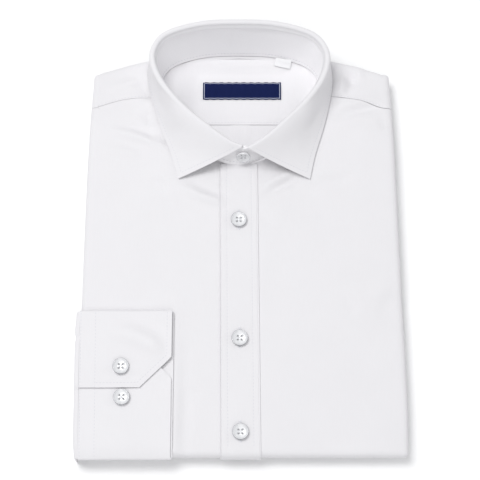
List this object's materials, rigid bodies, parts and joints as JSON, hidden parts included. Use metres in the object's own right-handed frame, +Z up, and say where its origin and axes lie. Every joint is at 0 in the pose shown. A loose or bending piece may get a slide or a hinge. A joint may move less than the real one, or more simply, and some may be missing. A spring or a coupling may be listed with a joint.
{
  "type": "folded dress shirt",
  "caption": "White cotton dress shirt folded flat for display, with a standing buttoned collar, a button placket and one cuff laid on the front.",
  "frame": {"origin": "on the flat underside, below the middle line of the placket", "axes": "+Y from the bottom fold towards the collar, +Z up out of the surface it lies on, +X towards the wearer's left side"},
  "size_m": [0.2584, 0.3581, 0.0525],
  "materials": {
    "body_cloth": "matt",
    "collar_cloth": "matt",
    "hidden_cloth": "matt",
    "button_resin": "pearl",
    "label_cloth": "satin",
    "tab_cloth": "satin"
  },
  "bodies": {
    "root": {"folded_layers": "hidden_cloth", "front_right": "body_cloth", "front_left": "body_cloth", "outer_yoke": "body_cloth", "inner_yoke": "body_cloth", "back": "body_cloth", "placket": "body_cloth", "collar_stand": "collar_cloth", "collar_leaf": "collar_cloth", "cuff_right": "collar_cloth", "sleeve_right": "body_cloth", "front_button_1": "button_resin", "front_button_2": "button_resin", "front_button_3": "button_resin", "collar_button": "button_resin", "cuff_button_1": "button_resin", "cuff_button_2": "button_resin", "neck_label": "label_cloth", "size_tab": "tab_cloth"}
  },
  "joints": []
}
